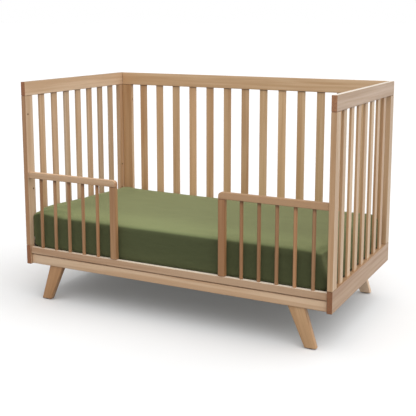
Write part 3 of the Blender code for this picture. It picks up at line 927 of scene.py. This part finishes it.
def settle(piece, low, high):
    """The lie of the bed: a low crown, highest at the front left, with folds in the sheet.
    Here u runs from -1 at the left end to 1 at the right, and v from the front to the rear."""
    middle = (low + high) / 2
    half = (high - low) / 2
    normals = [v.normal.copy() for v in piece.data.vertices]
    for vert, normal in zip(piece.data.vertices, normals):
        u = (vert.co.x - middle.x) / half.x
        v = (vert.co.y - middle.y) / half.y
        height = smooth_step(vert.co.z, low.z + 0.03, high.z)
        crown = CROWN * (1 - u * u) * (1 - v * v)
        lean = -SINK - TILT * v + TWIST * u * (u - 1 + v)
        dip = LEFT_DIP * smooth_step(-u, 0.05, 0.5) + RIGHT_DIP * smooth_step(u, 0.5, 0.8)
        lean -= (FRONT_DIP + dip) * smooth_step(-v, 0.2, 1.0)
        rise = LEFT_RISE - LEFT_TILT * v + LEFT_FRONT_RISE * smooth_step(-v, 0.1, 0.8)
        rise -= LEFT_EDGE_FALL * smooth_step(-v, 0.82, 1.0)
        lean += rise * smooth_step(-u, 0.75, 1.0)
        lean -= END_FALL * smooth_step(u, 0.93, 1.0)
        vert.co.z += height * (crown + lean)
        vert.co += normal * fold_depth(vert.co, normal, low, high)


def fill_out(pad, low, high):
    """Scales the pad so that its flat sides meet the guard, the back panel and the end frames."""
    starts = (-PAD_END, PAD_FRONT, low.z)
    ends = (PAD_END, high.y, high.z)
    for vert in pad.data.vertices:
        for axis, (start, end) in enumerate(zip(starts, ends)):
            least, most = low[axis] + START_SHRINK, high[axis] - START_SHRINK
            share = (vert.co[axis] - least) / (most - least)
            vert.co[axis] = start + (end - start) * share


def hold_in(pad, low, high):
    """The bedding stays between its neighbours. Its front left corner is squarer below the top
    edge, and its front right corner is drawn back."""
    square = Vector((-PAD_END + SQUARE_REACH, PAD_FRONT + SQUARE_REACH))
    for vert in pad.data.vertices:
        spot = vert.co
        rise = max(smooth_step(spot.z, *BOLT_CLEAR), smooth_step(spot.y, *BEFORE_BOLTS))
        end = PAD_END_LOW + (PAD_END - PAD_END_LOW) * rise
        squared = smooth_step(spot.z, *SQUARE_LOW) * smooth_step(spot.z, *SQUARE_HIGH)
        beyond = (square.x - spot.x, square.y - spot.y)
        if min(beyond) > 0.0:
            wider = 1.0 + squared
            spot.x = square.x - min(SQUARE_REACH, beyond[0] * wider)
            spot.y = square.y - min(SQUARE_REACH, beyond[1] * wider)
        drawn = CORNER_DRAWN * smooth_step(spot.x, *CORNER_X) * smooth_step(spot.y, *CORNER_Y)
        drawn = max(drawn, END_DRAWN * smooth_step(spot.x, *END_X))
        drawn *= smooth_step(spot.z, *DRAWN_HEIGHT)
        spot.x = min(max(spot.x, -end), end) - drawn
        spot.y = min(max(spot.y, PAD_FRONT), high.y)
        spot.z = max(spot.z, low.z)


def made_pad(low, high):
    """The pad: swollen, filled out to its neighbours, settled and held in."""
    shrink = Vector((START_SHRINK,) * 3)
    pad = pad_block(low + shrink, high - shrink)
    swell(pad)
    fill_out(pad, low, high)
    subdivision = pad.modifiers.new("finer", "SUBSURF")
    subdivision.levels = 1
    apply_modifiers(pad)
    pad.data.update()
    settle(pad, low, high)
    hold_in(pad, low, high)
    pad.data.update()
    return pad


def sheet_over(pad, low, high):
    """The sheet is the pad's skin, open below and with a thickness."""
    sheet = bpy.data.objects.new("fitted_cotton_sheet", pad.data.copy())
    bpy.context.scene.collection.objects.link(sheet)
    open_below(sheet, low, high)
    wall = sheet.modifiers.new("cloth", "SOLIDIFY")
    wall.thickness = SHEET_THICKNESS
    wall.offset = -1.0
    apply_modifiers(sheet)
    shade(sheet, PAD_SMOOTH)
    return sheet


def draw_under(pad):
    """Shrinks the pad to lie just inside its sheet."""
    normals = [v.normal.copy() for v in pad.data.vertices]
    for vert, normal in zip(pad.data.vertices, normals):
        vert.co -= normal * (SHEET_THICKNESS + GAP)
    shade(pad, PAD_SMOOTH)


def bedding():
    """The mattress core in its fitted sheet, with the sheet's seams and elastic hem."""
    low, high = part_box("fitted_sheet")
    core = made_pad(low, high)
    sheet = sheet_over(core, low, high)
    draw_under(core)
    finish_piece(core, cover_knit, "bedding")
    finish_piece(sheet, sheet_cotton, "bedding")
    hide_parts("mattress")
    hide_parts("fitted_sheet")
    seams = corner_seams(sheet, low, high)
    hem = elastic_hem(low, high)


def open_below(sheet, low, high):
    """Takes away the sheet's underside inside its hem."""
    middle = (low + high) / 2
    reach = (high - low) / 2 - Vector((HEM, HEM, 0.0))
    bm = bmesh.new()
    bm.from_mesh(sheet.data)
    gone = []
    for face in bm.faces:
        spot = face.calc_center_median()
        if spot.z < low.z + UNDERSIDE and face.normal.z < -0.5:
            dx = max(0.0, abs(spot.x - middle.x) - (reach.x - HEM_CORNER))
            dy = max(0.0, abs(spot.y - middle.y) - (reach.y - HEM_CORNER))
            if math.hypot(dx, dy) < HEM_CORNER:
                gone.append(face)
    bmesh.ops.delete(bm, geom=gone, context="FACES")
    bm.to_mesh(sheet.data)
    bm.free()


def seam_line(tree, inner, outward, low, high):
    """Points on the sheet with their normals, from low on a corner up and over its top edge."""
    line = []
    start = inner + Vector((0.0, 0.0, high.z - SEAM_DROP))
    lowest, highest = SEAM_ANGLES
    for step in range(SEAM_STEPS + 1):
        angle = math.radians(lowest + (highest - lowest) * step / SEAM_STEPS)
        ray = outward * math.cos(angle) + Vector((0.0, 0.0, math.sin(angle)))
        hit, normal = tree.ray_cast(start, ray)[:2]
        if hit is not None:
            line.append((hit, normal))
    for _ in range(SEAM_LOW_STEPS):
        start = inner + Vector((0.0, 0.0, line[0][0].z - SEAM_LOW_STEP))
        hit, normal = tree.ray_cast(start, outward)[:2]
        if hit is not None and hit.z > low.z + UNDERSIDE:
            line.insert(0, (hit, normal))
    return line


def corner_seams(sheet, low, high):
    """A raised seam down each corner of the fitted sheet."""
    tree = BVHTree.FromObject(sheet, bpy.context.evaluated_depsgraph_get())
    middle = (low + high) / 2
    half = (high - low) / 2
    seams = []
    for sx in (-1, 1):
        for sy in (-1, 1):
            inner = Vector((middle.x + sx * (half.x - SEAM_INSET),
                            middle.y + sy * (half.y - SEAM_INSET), 0.0))
            line = seam_line(tree, inner, Vector((sx, sy, 0.0)).normalized(), low, high)
            seams.append(seam_strip(f"sheet_seam_{len(seams) + 1}", line))
    return seams


def seam_strip(name, line):
    """A low ridge of folded cloth along a line on the sheet."""
    bm = bmesh.new()
    loops = []
    for i, (point, normal) in enumerate(line):
        ahead = line[min(i + 1, len(line) - 1)][0] - line[max(i - 1, 0)][0]
        across = ahead.cross(normal).normalized()
        loops.append([bm.verts.new(point + across * place * SEAM_WIDTH + normal * height)
                      for place, height in SEAM_PROFILE])
    for lower, upper in zip(loops, loops[1:]):
        for i in range(len(SEAM_PROFILE) - 1):
            bm.faces.new((lower[i], lower[i + 1], upper[i + 1], upper[i]))
    bmesh.ops.recalc_face_normals(bm, faces=bm.faces)
    piece = mesh_object(name, bm)
    piece.data.shade_smooth()
    return finish_piece(piece, sheet_cotton, "bedding")


def elastic_hem(low, high):
    """The gathered elastic edge under the mattress."""
    middle = (low + high) / 2
    reach = (high - low) / 2 - Vector((HEM, HEM, 0.0))
    outline = rounded_outline(reach.x, reach.y, middle.y, (HEM_CORNER,) * 4, low.z - 0.0002, 24)
    points = []
    total = 0.0
    for here, after in zip(outline, outline[1:] + outline[:1]):
        steps = max(1, round((after - here).length / HEM_STEP))
        for step in range(steps):
            spot = here.lerp(after, step / steps)
            total += (after - here).length / steps
            outward = Vector((spot.x - middle.x, spot.y - middle.y, 0.0)).normalized()
            points.append(spot + outward * GATHER_DEPTH * math.sin(total * GATHERS))
    piece = tube("sheet_elastic_hem", points, HEM_DIAMETER, cyclic=True)
    return finish_piece(piece, sheet_cotton, "bedding")


# ------------------------------------------------------- floor, light, camera


def floor():
    """A pale matt floor that runs out to the horizon."""
    bm = bmesh.new()
    bmesh.ops.create_grid(bm, x_segments=8, y_segments=8, size=FLOOR_SIZE)
    piece = mesh_object("floor", bm)
    n = Nodes("pale_floor")
    cloud = n.noise(n.vector("MULTIPLY", n.place, (2.0,) * 3), 3.0)
    dark, light = ((grey, grey, grey, 1.0) for grey in FLOOR_GREYS)
    n.set(Base_Color=n.mix(cloud, dark, light), Roughness=0.9, Specular_IOR_Level=0.0)
    piece.data.materials.append(n.material)
    piece.visible_diffuse = False


def lamp():
    """A sun so wide that it works as a large softbox."""
    data = bpy.data.lights.new("softbox", "SUN")
    data.energy = LAMP_ENERGY
    data.angle = math.radians(LAMP_ANGLE)
    light = bpy.data.objects.new("softbox", data)
    light.location = LAMP_PLACE
    light.rotation_euler = Vector(LAMP_PLACE).to_track_quat("Z", "Y").to_euler()
    bpy.context.scene.collection.objects.link(light)


def studio():
    """A white dome above a dark ground, and a very wide soft lamp overhead, to the right. The
    floor shows white, but throws no light back up."""
    lamp()
    world = bpy.data.worlds.new("studio")
    bpy.context.scene.world = world
    world.use_nodes = True
    tree = world.node_tree
    coords = tree.nodes.new("ShaderNodeTexCoord")
    split = tree.nodes.new("ShaderNodeSeparateXYZ")
    tree.links.new(coords.outputs["Generated"], split.inputs[0])
    dome = tree.nodes.new("ShaderNodeValToRGB")
    dome.color_ramp.interpolation = "EASE"
    while len(dome.color_ramp.elements) < len(DOME_LEVELS):
        dome.color_ramp.elements.new(0.5)
    for stop, (place, level) in zip(dome.color_ramp.elements, DOME_LEVELS):
        stop.position = place
        stop.color = (level, level, level, 1.0)
    rise = tree.nodes.new("ShaderNodeMapRange")
    rise.inputs["From Min"].default_value = -1.0
    tree.links.new(split.outputs["Z"], rise.inputs["Value"])
    tree.links.new(rise.outputs[0], dome.inputs[0])
    tree.links.new(dome.outputs[0], tree.nodes["Background"].inputs["Color"])
    bpy.context.scene.view_settings.view_transform = "Standard"


def camera():
    data = bpy.data.cameras.new("camera")
    data.lens = CAMERA_LENS
    data.shift_y = CAMERA_RISE
    view = bpy.data.objects.new("camera", data)
    view.location = CAMERA_PLACE
    view.rotation_euler = (math.radians(90 - CAMERA_DOWN), 0.0, math.radians(CAMERA_HEADING))
    bpy.context.scene.collection.objects.link(view)
    bpy.context.scene.camera = view


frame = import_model()

apron_beech = beech("apron", rgb(234, 202, 168), rgb(214, 176, 139), rgb(152, 102, 70))
leg_beech = leg_beeches()
support_paint = steel("support_paint", rgb(104, 101, 97), 0.42)
wire_zinc = zinc("wire_zinc", rgb(190, 192, 196), 0.28)
bolt_zinc = zinc("bolt_zinc", rgb(66, 62, 58), 0.34)
brass = zinc("insert_brass", rgb(140, 118, 80), 0.35)
sheet_cotton = cotton("sheet_cotton_green", (0.080, 0.094, 0.040, 1.0))
cover_knit = quilted("cover_knit", rgb(226, 226, 220))
glide_nylon = nylon("glide_nylon", rgb(90, 84, 78))

dress_frame(frame)
frame["nodes"]["support_frame"].material_slots[0].material = support_paint
leg_frames()
hardware()
wire_deck()
bedding()
floor()
studio()
camera()
